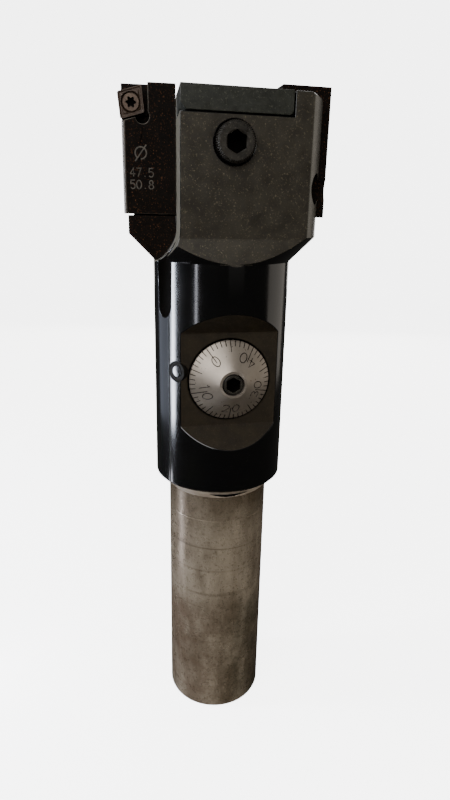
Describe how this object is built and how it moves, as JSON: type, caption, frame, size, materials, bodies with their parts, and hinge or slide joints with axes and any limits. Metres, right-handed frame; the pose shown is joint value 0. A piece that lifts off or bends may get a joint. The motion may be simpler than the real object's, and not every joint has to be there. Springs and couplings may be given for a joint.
{
  "type": "adjustable twin-cutter boring head",
  "caption": "Straight-shank boring head with opposed insert cartridges, set together by a graduated dial through an internal wedge and push rod.",
  "frame": {"origin": "centre of the shank end, on the tool axis", "axes": "+Z along the tool axis from the shank to the cutters; -Y towards the adjusting dial; the two cutters lie on -X and +X"},
  "size_m": [0.0466, 0.0336, 0.159],
  "materials": {
    "blacked_steel": "gloss black oxide",
    "browned_steel": "satin brown-black oxide",
    "black_screw": "satin black oxide",
    "bright_steel": "ground",
    "brushed_dial": "turned",
    "carbide": "satin",
    "bronze": "turned",
    "spring_steel": "satin"
  },
  "bodies": {
    "body": {"body": "blacked_steel", "shank_plug": "bright_steel", "front_gib_bar": "blacked_steel", "rear_gib_bar": "blacked_steel", "front_clamp_pad": "bronze", "rear_clamp_pad": "bronze", "left_lock_screw": "black_screw", "right_lock_screw": "black_screw", "spindle_bush": "bronze", "tail_bush": "bronze", "thrust_washer": "spring_steel", "friction_spring": "spring_steel", "spindle_lock_screw": "black_screw", "upper_rod_bush": "bronze", "lower_rod_bush": "bronze", "rod_spring": "spring_steel"},
    "dial": {"dial": "brushed_dial", "adjusting_screw": "bright_steel"},
    "wedge_nut": {"wedge_nut": "bronze"},
    "push_rod": {"push_rod": "bright_steel", "drive_pin": "bright_steel"},
    "left_slide": {"left_slide": "bright_steel", "left_cartridge": "browned_steel", "left_cartridge_bolt": "black_screw", "left_insert": "carbide", "left_insert_screw": "black_screw"},
    "right_slide": {"right_slide": "bright_steel", "right_cartridge": "browned_steel", "right_cartridge_bolt": "black_screw", "right_insert": "carbide", "right_insert_screw": "black_screw"},
    "front_clamp_screw": {"front_clamp_screw": "black_screw"},
    "rear_clamp_screw": {"rear_clamp_screw": "black_screw"}
  },
  "joints": [
    {"name": "dial_turn", "type": "hinge", "parent": "body", "child": "dial", "pos_m": [0, -0.0116, 0.09564], "axis": [0, -1, 0], "range_deg": [0, 936]},
    {"name": "wedge_nut_slide", "type": "slide", "parent": "body", "child": "wedge_nut", "axis": [0, -1, 0], "range_m": [0, 0.00165]},
    {"name": "push_rod_slide", "type": "slide", "parent": "body", "child": "push_rod", "axis": [0, 0, 1], "range_m": [0, 0.00165], "deforming": ["rod_spring"]},
    {"name": "left_slide_out", "type": "slide", "parent": "body", "child": "left_slide", "axis": [-1, 0, 0], "range_m": [0, 0.00165]},
    {"name": "right_slide_out", "type": "slide", "parent": "body", "child": "right_slide", "axis": [1, 0, 0], "range_m": [0, 0.00165]},
    {"name": "front_clamp_turn", "type": "hinge", "parent": "body", "child": "front_clamp_screw", "pos_m": [-0.00075, -0.01475, 0.1464], "axis": [0, -1, 0], "range_deg": [0, 180]},
    {"name": "rear_clamp_turn", "type": "hinge", "parent": "body", "child": "rear_clamp_screw", "pos_m": [0.00075, 0.01475, 0.1464], "axis": [0, 1, 0], "range_deg": [0, 180]}
  ],
  "couplings": [
    {"joint": "dial_turn", "follows": "left_slide_out", "rad_per_m": 9894.8},
    {"joint": "wedge_nut_slide", "follows": "left_slide_out", "ratio": 1},
    {"joint": "push_rod_slide", "follows": "left_slide_out", "ratio": 1},
    {"joint": "right_slide_out", "follows": "left_slide_out", "ratio": 1}
  ]
}
